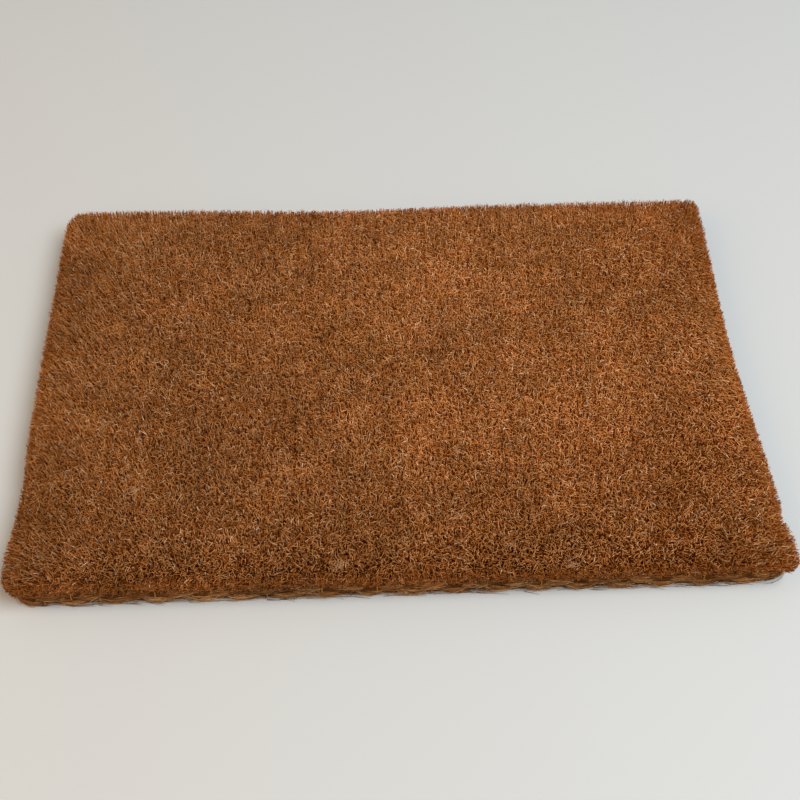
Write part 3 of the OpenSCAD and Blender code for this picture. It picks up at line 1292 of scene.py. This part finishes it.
@dataclass
class Plait:
    """The three-strand plait that is sewn round the mat, with its loose fibres."""

    layout: Layout
    material: bpy.types.Material
    lay_length: float = 96 * MM
    strand_sway: float = 3.6 * MM
    strand_depth: float = 2.2 * MM
    strand_half_height: float = 3.9 * MM
    strand_half_width: float = 2.1 * MM
    heart_half_width: float = 3.0 * MM
    heart_inset: float = 0.8 * MM
    dwell: float = 2.2
    ply_size: float = 0.62
    ply_offset: float = 0.4
    twist_length: float = 46 * MM
    fibres_per_metre: int = 4300
    loose_per_metre: int = 1200
    fringe_per_metre: int = 500
    seed: int = 23

    def __post_init__(self) -> None:
        """Model the shapes that the plait is made of."""
        self.random = np.random.default_rng(self.seed)
        self.fibre = model_rod(3, 2, tip_radius=0.35)
        self.long_ply = model_rod(8, 12, 14)
        self.short_ply = model_rod(8, 8)

    def stretches(self) -> list[Stretch]:
        """List the stretches of the edging in the order in which the plait runs.

        Returns:
            The four straight runs and the four corners, by turns.
        """
        lay = self.layout
        half_x, half_y, middle = lay.run_half_x, lay.run_half_y, lay.plait_middle
        radius = middle - half_y
        quarter = radius * math.pi / 2
        side = middle + half_x - half_y
        corners = [
            ("front", "front_right", (-half_x, -middle), 2 * half_x),
            ("right", "back_right", (side, -half_y), 2 * half_y),
            ("back", "back_left", (half_x, middle), 2 * half_x),
            ("left", "front_left", (-side, half_y), 2 * half_y),
        ]
        ends = [(half_x, -middle), (side, half_y), (-half_x, middle), (-side, -half_y)]
        stretches, begin = [], 0.0
        for index, (name, corner, start, length) in enumerate(corners):
            heading = index * math.pi / 2
            stretches.append(Stretch(f"edging_{name}", Turn.STRAIGHT, start, heading, length, begin))
            begin += length
            stretches.append(Stretch(f"edging_corner_{corner}", Turn.CORNER, ends[index], heading,
                                     quarter, begin, radius))
            begin += quarter
        return stretches

    def girth(self) -> float:
        """Return the plait's length round the mat."""
        last = self.stretches()[-1]
        return last.begin + last.length

    def piece(self, stretch: Stretch) -> bpy.types.Object:
        """Make one stretch of the plait.

        Args:
            stretch: The stretch that it covers.

        Returns:
            The stretch's strands and fibres as one piece.
        """
        bundle = Bundle(stretch.node.replace("edging", "plait"))
        ply = self.long_ply if stretch.turn is Turn.STRAIGHT else self.short_ply
        self.add_heart(bundle, ply, stretch)
        for strand in range(3):
            for turn in range(3):
                self.add_ply(bundle, ply, stretch, strand, turn)
        self.add_clinging(bundle, stretch)
        self.add_loose(bundle, stretch)
        self.add_fringe(bundle, stretch)
        return bundle.build(self.material)

    def strand_centre(self, run: Array, strand: Array | int) -> tuple[Array, Array]:
        """Give where a strand's middle lies in the plait's section.

        Args:
            run: Distance round the mat.
            strand: The strand's number.

        Returns:
            Its distance outwards and its height.
        """
        laps = round(self.girth() / self.lay_length)
        phase = TAU * (run * laps / self.girth() + np.asarray(strand) / 3)
        middle = self.layout.plait_height / 2
        sway = self.strand_sway * np.tanh(self.dwell * np.sin(phase)) / math.tanh(self.dwell)
        return self.strand_depth * np.sin(2 * phase), middle + sway

    def add_heart(self, bundle: Bundle, rod: Shape, stretch: Stretch) -> None:
        """Add the packed fibre that shows between the strands, painted dark as the shade between them.

        Args:
            bundle: The piece that is being made.
            rod: The rod that it is shaped from.
            stretch: The stretch of the edging.
        """
        run = rod.points[:, 2] * stretch.length
        middle = self.layout.plait_height / 2
        out = self.heart_half_width * rod.points[:, 0]
        up = np.sign(rod.points[:, 1]) * np.abs(rod.points[:, 1]) ** 0.7
        points = stretch.place(run, out, middle + (middle - self.heart_inset) * up)
        grain = np.stack([out, middle * up, run], axis=1)
        # painted shade: its dark tint and low share stand for the shade between the strands
        bundle.add(rod, points[None], np.full(1, 0.15), np.full(len(run), 0.4), grain[None], share=1 / 9)

    def add_ply(self, bundle: Bundle, rod: Shape, stretch: Stretch, strand: int, ply: int) -> None:
        """Add one ply of one strand.

        Args:
            bundle: The piece that is being made.
            rod: The rod that it is shaped from.
            stretch: The stretch of the edging.
            strand: The strand's number.
            ply: The ply's number.
        """
        run = rod.points[:, 2] * stretch.length
        total = stretch.begin + run
        out, up = self.strand_centre(total, strand)
        laps = round(self.girth() / self.twist_length)
        twist = TAU * (total * laps / self.girth() + ply / 3 + strand / 7)
        thick = 1 + 0.1 * np.sin(total * 210 + 2.4 * ply + 1.3 * strand) * np.sin(total * 87 + ply)
        size, offset = self.ply_size * thick, self.ply_offset
        out = out + self.strand_half_width * (offset * np.cos(twist) + size * rod.points[:, 0])
        up = up + self.strand_half_height * (offset * np.sin(twist) + size * rod.points[:, 1])
        points = stretch.place(run, out, np.maximum(up, 0.15 * MM))
        streaks = rod.points[:, :2] * 2 * MM + 9 * MM * np.array([strand, ply])
        grain = np.column_stack([streaks, total])
        tint = np.array([0.42 + 0.1 * math.sin(2.1 * strand + 1.7 * ply)])
        bundle.add(rod, points[None], tint, np.full(len(run), 0.8), grain[None], share=1 / 9)

    def add_clinging(self, bundle: Bundle, stretch: Stretch) -> None:
        """Add fibres that lie along the strands and lift a little at their tips.

        Args:
            bundle: The piece that is being made.
            stretch: The stretch of the edging.
        """
        count = int(self.fibres_per_metre * stretch.length)
        strand = self.random.integers(0, 3, count)[:, None]
        start, length = self.scattered(stretch, count, 14, 38)
        share = self.fibre.points[:, 2][None, :]
        run = start + length * share
        angle = self.random.uniform(0, TAU, (count, 1)) + self.random.normal(0, 0.7, (count, 1)) * share
        lift = self.random.uniform(-0.1, 0.25, (count, 1)) * MM
        lift = lift + np.abs(self.random.normal(0, 0.9, (count, 1))) * MM * share ** 2
        self.add_hairs(bundle, stretch, strand, run, angle, lift, radius=0.21, tint=0.5)

    def add_loose(self, bundle: Bundle, stretch: Stretch) -> None:
        """Add loose fibres that stand away from the plait.

        Args:
            bundle: The piece that is being made.
            stretch: The stretch of the edging.
        """
        count = int(self.loose_per_metre * stretch.length)
        strand = self.random.integers(0, 3, count)[:, None]
        start, length = self.scattered(stretch, count, 5, 19)
        share = self.fibre.points[:, 2][None, :]
        run = start + length * share * self.random.choice([-1, 1], (count, 1))
        angle = self.random.uniform(-1.5, 1.4, (count, 1)) + self.random.normal(0, 0.5, (count, 1)) * share
        lift = self.random.uniform(0.5, 4.2, (count, 1)) * MM * share ** 1.5
        self.add_hairs(bundle, stretch, strand, run, angle, lift, radius=0.18, tint=0.62)

    def add_fringe(self, bundle: Bundle, stretch: Stretch) -> None:
        """Add fibres that lie along the foot of the plait, on the floor and just over it.

        Args:
            bundle: The piece that is being made.
            stretch: The stretch of the edging.
        """
        count = int(self.fringe_per_metre * stretch.length)
        start, length = self.scattered(stretch, count, 8, 24)
        share = self.fibre.points[:, 2][None, :]
        run = np.clip(start + length * share, 0.0, stretch.length)
        turn = self.random.uniform(-2.4, 1.2, (count, 1)) + self.random.normal(0, 1.2, (count, 1)) * share
        out = self.layout.plait_width / 2 + turn * MM
        foot = np.abs(self.random.normal(0.8, 1.0, (count, 1)))
        up = foot + self.random.normal(0, 0.8, (count, 1)) * share
        size = 0.18 * self.random.uniform(0.7, 1.4, (count, 1)) * MM
        section = self.fibre.points[:, :2]
        up = np.maximum(up * MM + size * section[:, 1], 0.1 * MM)
        out = out - 1.2 * MM + size * section[:, 0]
        points = stretch.place(run, out, up)
        tints = np.clip(self.random.normal(0.4, 0.3, count), 0, 1)
        bundle.add(self.fibre, points, tints, np.full(self.fibre.points.shape[0], 0.8), share=0.3)

    def scattered(self, stretch: Stretch, count: int, least: float, most: float) -> tuple[Array, Array]:
        """Scatter fibres along a stretch.

        Args:
            stretch: The stretch of the edging.
            count: Number of fibres.
            least: Length of the shortest, in millimetres.
            most: Length of the longest, in millimetres.

        Returns:
            Where each fibre starts along the stretch, and its length.
        """
        length = self.random.uniform(least, most, count)[:, None] * MM
        start = self.random.uniform(0, 1, count)[:, None] * stretch.length - length / 2
        return start, length

    def add_hairs(self, bundle: Bundle, stretch: Stretch, strand: Array, run: Array, angle: Array,
                  lift: Array, radius: float, tint: float) -> None:
        """Add fibres on the strands' surface.

        Args:
            bundle: The piece that is being made.
            stretch: The stretch of the edging.
            strand: Each fibre's strand.
            run: Distance along the stretch, as fibres by points.
            angle: Angle round the strand, where 0 is outwards and a quarter turn is up.
            lift: Distance off the strand's surface.
            radius: Middle radius of a fibre, in millimetres.
            tint: Middle tint of a fibre.
        """
        count = len(run)
        run = np.clip(run, 0.0, stretch.length)
        out, up = self.strand_centre(stretch.begin + run, strand)
        out = out + (self.strand_half_width + lift) * np.cos(angle)
        up = up + (self.strand_half_height + lift) * np.sin(angle)
        size = radius * self.random.uniform(0.7, 1.4, (count, 1)) * MM
        section = self.fibre.points[:, :2]
        out = out + size * section[:, 0]
        up = np.maximum(up + size * section[:, 1], 0.1 * MM)
        points = stretch.place(run, out, up)
        tints = np.clip(self.random.normal(tint, 0.3, count), 0, 1)
        grain = np.stack([out, up, run], axis=-1)
        # painted shade: each hair darkens towards its root on the strand
        bundle.add(self.fibre, points, tints, self.fibre.points[:, 2] * 0.4 + 0.6, grain, share=0.5)


# ---------------------------------------------------------------- woven ground


@dataclass
class Ground:
    """The woven ground: warps, weft, cords and knots."""

    layout: Layout
    material: bpy.types.Material
    tight_lay: float = 20 * MM
    binder_lay: float = 14 * MM
    weft_lay: float = 9 * MM
    cord_lay: float = 26 * MM
    steepness: float = 2.2
    seed: int = 31

    def __post_init__(self) -> None:
        """Model the shapes that the yarns are made of."""
        self.random = np.random.default_rng(self.seed)
        self.long_ply = model_rod(5, 11, 11)
        self.wave_ply = model_rod(5, 17, 11)
        self.short_ply = model_rod(6, 12)
        self.knot = model_knot()

    def add_twisted(self, bundle: Bundle, rod: Shape, path: Array, radius: float, plies: int,
                    lay: float, length: float) -> None:
        """Add the plies of a twisted yarn along a path.

        Args:
            bundle: The piece that is being made.
            rod: The rod that each ply is shaped from.
            path: The middle of the yarn at each of the rod's points.
            radius: The yarn's radius.
            plies: Number of plies.
            lay: Length of one turn of the twist.
            length: The yarn's length.
        """
        share = rod.points[:, 2]
        rings, first = np.unique(np.round(share, 6), return_index=True)
        slope = np.gradient(path[first], rings, axis=0)
        slope /= np.linalg.norm(slope, axis=1, keepdims=True)
        forward = slope[np.searchsorted(rings, np.round(share, 6))]
        guide = np.eye(3)[np.argmin(np.ptp(path, axis=0))]
        side = np.cross(forward, guide)
        side /= np.linalg.norm(side, axis=1, keepdims=True)
        up = np.cross(side, forward)
        ply_radius, away = radius * 0.56, radius * 0.44
        for ply in range(plies):
            turn = TAU * (share * length / lay + ply / plies)
            beside = away * np.cos(turn) + ply_radius * rod.points[:, 0]
            above = away * np.sin(turn) + ply_radius * rod.points[:, 1]
            points = path + side * beside[:, None] + up * above[:, None]
            grain = np.stack([rod.points[:, 0] * ply_radius + 7 * MM * ply,
                              rod.points[:, 1] * ply_radius, share * length], axis=1)
            tint = np.array([0.5 + 0.12 * math.sin(3 * len(bundle.batches))])
            bundle.add(rod, points[None], tint, np.full(len(share), 0.9), grain[None])

    def straight(self, rod: Shape, start: tuple, stop: tuple) -> tuple[Array, float]:
        """Run a straight path between two points.

        Args:
            rod: The rod that follows it.
            start: Where it starts.
            stop: Where it stops.

        Returns:
            The path at each of the rod's points, and its length.
        """
        first, last = np.array(start), np.array(stop)
        share = rod.points[:, 2:3]
        return first + (last - first) * share, float(np.linalg.norm(last - first))

    def tight_warp(self) -> bpy.types.Object:
        """Make the straight yarns of the tight warp.

        Returns:
            The yarns as one piece.
        """
        lay, bundle = self.layout, Bundle("tight_warp_yarns")
        for y in lay.warp_places:
            path, length = self.straight(self.long_ply, (-lay.warp_reach, y, lay.tight_radius),
                                         (lay.warp_reach, y, lay.tight_radius))
            self.add_twisted(bundle, self.long_ply, path, lay.tight_radius, 2, self.tight_lay, length)
        return bundle.build(self.material)

    def binder_warp(self) -> bpy.types.Object:
        """Make the yarns of the binder warp, which pass over one row's root and under the next.

        Returns:
            The yarns as one piece.
        """
        lay, bundle = self.layout, Bundle("binder_warp_yarns")
        reach = lay.root_half_x
        beside = lay.tight_radius + lay.binder_radius
        floor = lay.binder_radius + 0.1 * MM
        for index, y in enumerate(lay.warp_places):
            share = self.wave_ply.points[:, 2]
            x = -reach + 2 * reach * share
            phase = math.pi * (x + reach) / lay.pitch - math.pi / 2 + math.pi * (index % 2)
            wave = np.tanh(self.steepness * np.cos(phase)) / math.tanh(self.steepness)
            z = (lay.binder_z + floor) / 2 + wave * (lay.binder_z - floor) / 2
            path = np.stack([x, y + beside * (1 - wave) / 2, z], axis=1)
            self.add_twisted(bundle, self.wave_ply, path, lay.binder_radius, 2, self.binder_lay,
                             2 * reach)
        return bundle.build(self.material)

    def weft_picks(self) -> bpy.types.Object:
        """Make the picks of the weft, which lie inside the tufts.

        Returns:
            The picks as one piece.
        """
        lay, bundle = self.layout, Bundle("weft_pick_yarns")
        rod, reach = self.short_ply, lay.root_half_y
        for row in range(lay.row_count):
            x = lay.row_middle(row)
            path, length = self.straight(rod, (x, -reach, lay.weft_z), (x, reach, lay.weft_z))
            self.add_twisted(bundle, rod, path, lay.weft_radius, 1, 400 * MM, length)
        return bundle.build(self.material)

    def weft_turns(self, side: int) -> bpy.types.Object:
        """Make the half turns of the weft at the front or the back.

        Args:
            side: -1 for the front, 1 for the back.

        Returns:
            The turns as one piece.
        """
        lay = self.layout
        name = "front" if side < 0 else "back"
        bundle = Bundle(f"weft_turn_yarns_{name}")
        angle = math.pi * self.short_ply.points[:, 2]
        for row in range(1 if side < 0 else 0, lay.row_count - 1, 2):
            middle = lay.row_middle(row) + lay.pitch / 2
            path = np.stack([middle - lay.pitch / 2 * np.cos(angle),
                             side * (lay.root_half_y + lay.pitch / 2 * np.sin(angle)),
                             np.full(len(angle), lay.weft_z)], axis=1)
            self.add_twisted(bundle, self.short_ply, path, lay.weft_radius, 2, self.weft_lay,
                             math.pi * lay.pitch / 2)
        return bundle.build(self.material)

    def cord(self, node: str) -> bpy.types.Object:
        """Make a selvedge or heading cord in the place of its node.

        Args:
            node: The node's name.

        Returns:
            The cord.
        """
        low, high = (Vector(corner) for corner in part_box(node))
        middle, size = (low + high) / 2, high - low
        bundle = Bundle(f"{node}_strands")
        half = Vector((size.x / 2, 0, 0)) if size.x > size.y else Vector((0, size.y / 2, 0))
        path, length = self.straight(self.long_ply, middle - half, middle + half)
        self.add_twisted(bundle, self.long_ply, path, size.z / 2, 3, self.cord_lay, length)
        return bundle.build(self.material)

    def knots(self, node: str) -> bpy.types.Object:
        """Make the knots at one end of the binder warp.

        Args:
            node: The node's name.

        Returns:
            The knots as one piece.
        """
        low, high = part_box(node)
        radius = (high[2] - low[2]) / 2
        bundle = Bundle(f"{node}_tied")
        middle = np.array([(low[0] + high[0]) / 2, 0.0, (low[2] + high[2]) / 2])
        places = np.array([middle + (0, y, 0) for y in self.layout.warp_places])
        lump = 1 + self.random.normal(0, 0.07, (len(places), len(self.knot.points), 1))
        points = places[:, None] + self.knot.points[None] * radius * lump
        tint = self.random.uniform(0.4, 0.7, len(places))
        bundle.add(self.knot, points, tint, np.full(len(self.knot.points), 0.9))
        return bundle.build(self.material)


@dataclass
class Sewing:
    """The stitches that hold the plait to the ground."""

    layout: Layout
    material: bpy.types.Material
    twine_radius: float = 0.6 * MM
    twine_lay: float = 5 * MM
    bite: float = 2.3 * MM

    def __post_init__(self) -> None:
        """Model the twine."""
        self.ply = model_rod(5, 7, 5)

    def loop(self) -> tuple[Array, float]:
        """Give the path of one stitch in its own plane.

        Returns:
            The path's points, as distance in from the outline and height, and its length.
        """
        low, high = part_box("stitches_front")
        radius = self.twine_radius
        edge = self.layout.half_depth
        outer, inner = edge + low[1] + radius + self.bite, edge + high[1] - radius
        foot, top = low[2] + radius + self.bite / 2, high[2] - radius - self.bite
        bend = self.layout.plait_width / 2 + radius - self.bite
        centre = np.array([outer + bend, top - bend])
        arc = [centre + bend * np.array([math.cos(a), math.sin(a)])
               for a in np.linspace(math.pi, math.pi / 4, 9)]
        drop = arc[-1] + np.array([1, -1]) * (inner - arc[-1][0])
        path = np.array([(outer, foot), *arc, drop, (inner, foot), (outer, foot)])
        steps = np.r_[0, np.cumsum(np.linalg.norm(np.diff(path, axis=0), axis=1))]
        share = self.ply.points[:, 2] * steps[-1]
        inward = np.interp(share, steps, path[:, 0])
        height = np.interp(share, steps, path[:, 1])
        return np.stack([inward, height], axis=1), float(steps[-1])

    def row(self, node: str, ground: Ground) -> bpy.types.Object:
        """Make the stitches of one node.

        Args:
            node: The node's name.
            ground: The ground, which knows how yarn is twisted.

        Returns:
            The stitches as one piece.
        """
        path, length = self.loop()
        bundle = Bundle(f"{node}_twine")
        inward, height = path[:, 0], path[:, 1]
        at_end = node.endswith(("left", "right"))
        edge = self.layout.half_length if at_end else self.layout.half_depth
        across = edge - inward if node.endswith(("right", "back")) else -edge + inward
        for place in self.places(node):
            spot = np.full(len(inward), place)
            line = np.stack([across, spot, height] if at_end else [spot, across, height], axis=1)
            ground.add_twisted(bundle, self.ply, line, self.twine_radius, 2, self.twine_lay, length)
        return bundle.build(self.material)

    def places(self, node: str) -> list[float]:
        """Give where the stitches of a node lie.

        Args:
            node: The node's name.

        Returns:
            The place of each stitch along its side of the mat.
        """
        lay = self.layout
        pairs = lay.row_count // 2
        if node == "stitches_front":
            return [lay.row_middle(2 * pair) + lay.pitch / 2 for pair in range(0, pairs, 2)]
        if node == "join_stitches_front":
            return [lay.row_middle(2 * pair) + lay.pitch / 2 for pair in (1, 3)]
        if node == "stitches_back":
            return [lay.row_middle(2 * pair) - lay.pitch / 2 for pair in range(2, pairs, 2)]
        half = (lay.warp_places[1] - lay.warp_places[0]) / 2
        sign = -1 if node == "stitches_left" else 1
        return [sign * (place + half) for place in lay.warp_places[0:-1:2]]


# ---------------------------------------------------------------- studio


@dataclass(frozen=True)
class Lamp:
    """A soft square light that faces the mat."""

    name: str
    place: tuple[float, float, float]
    size: float
    power: float
    colour: tuple[float, float, float]

    def hang(self) -> None:
        """Make the light and hang it in its place."""
        lamp = bpy.data.lights.new(self.name, "AREA")
        lamp.size = self.size
        lamp.energy = self.power
        lamp.color = self.colour
        holder = bpy.data.objects.new(self.name, lamp)
        holder.location = self.place
        holder.rotation_euler = (-Vector(self.place)).to_track_quat("-Z", "Y").to_euler()
        bpy.context.scene.collection.objects.link(holder)


LAMPS = (
    Lamp("key", (1.5, -0.7, 2.6), size=1.9, power=119.0, colour=(0.87, 0.945, 1.0)),
    Lamp("fill", (-1.4, -0.4, 1.2), size=1.4, power=14.0, colour=(1.0, 0.58, 0.18)),
)


@dataclass(frozen=True)
class Studio:
    """Floor, light and camera."""

    camera_place: tuple[float, float, float] = (-0.0334, -0.6091, 0.7992)
    yaw: float = -3.64
    tilt: float = 36.87
    roll: float = 1.42
    lens: float = 52.06
    floor_size: float = 6.0
    daylight: float = 0.47
    daylight_colour: tuple[float, ...] = (1.0, 0.985, 0.955, 1.0)
    lamps: tuple[Lamp, ...] = LAMPS

    def build(self) -> None:
        """Make the floor, the lights and the camera."""
        self.floor()
        for lamp in self.lamps:
            lamp.hang()
        self.sky()
        self.camera()
        bpy.context.scene.view_settings.view_transform = "Standard"

    def sky(self) -> None:
        """Make the soft daylight that comes from all round."""
        world = bpy.data.worlds.new("soft_daylight")
        world.use_nodes = True
        background = world.node_tree.nodes["Background"]
        background.inputs["Color"].default_value = self.daylight_colour
        background.inputs["Strength"].default_value = self.daylight
        bpy.context.scene.world = world

    def floor(self) -> None:
        """Make the pale floor that the mat lies on."""
        clear_selection()
        bpy.ops.mesh.primitive_plane_add(size=self.floor_size, location=(0, 0, 0))
        floor = bpy.context.object
        floor.name = "floor"
        floor.data.materials.append(FLOOR_FINISH.material())
        floor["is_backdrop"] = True

    def camera(self) -> None:
        """Add the camera in front of the mat, looking down at it."""
        lens = bpy.data.cameras.new("camera")
        lens.lens = self.lens
        lens.sensor_width = 36.0
        camera = bpy.data.objects.new("camera", lens)
        turn = (
            Matrix.Rotation(math.radians(self.yaw), 4, "Z")
            @ Matrix.Rotation(math.radians(self.tilt), 4, "X")
            @ Matrix.Rotation(math.radians(self.roll), 4, "Z")
        )
        camera.matrix_world = Matrix.Translation(self.camera_place) @ turn
        bpy.context.scene.collection.objects.link(camera)
        bpy.context.scene.camera = camera


# ---------------------------------------------------------------- assembly


def fit(piece: bpy.types.Object, node: str) -> None:
    """Put a finished piece in the place of its CAD node.

    Args:
        piece: The finished piece.
        node: The node that it stands for.
    """
    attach(piece, BODY)
    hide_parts(node)
    LOG.info("%s stands for %s with %d faces", piece.name, node, len(piece.data.polygons))


def main() -> None:
    """Build the mat, piece by piece, and the studio round it."""
    logging.basicConfig(level=logging.INFO, format="%(message)s")
    layout = Layout.read()
    Studio().build()

    pile = Pile(layout, PILE_FINISH.material())
    for pair in range(layout.row_count // 2):
        fit(pile.rows(pair), f"pile_rows_{pair + 1:02d}")

    plait = Plait(layout, PLAIT_FINISH.material())
    for stretch in plait.stretches():
        fit(plait.piece(stretch), stretch.node)

    ground = Ground(layout, YARN_FINISH.material())
    fit(ground.tight_warp(), "tight_warp")
    fit(ground.binder_warp(), "binder_warp")
    fit(ground.weft_picks(), "weft_picks")
    fit(ground.weft_turns(-1), "weft_turns_front")
    fit(ground.weft_turns(1), "weft_turns_back")
    for node in ("selvedge_cord_front", "selvedge_cord_back", "heading_cord_left", "heading_cord_right"):
        fit(ground.cord(node), node)
    for node in ("warp_knots_left", "warp_knots_right"):
        fit(ground.knots(node), node)

    sewing = Sewing(layout, TWINE_FINISH.material())
    for side in ("front", "back", "left", "right"):
        fit(sewing.row(f"stitches_{side}", ground), f"stitches_{side}")
    fit(sewing.row("join_stitches_front", ground), "join_stitches_front")


if __name__ == "__main__":
    main()
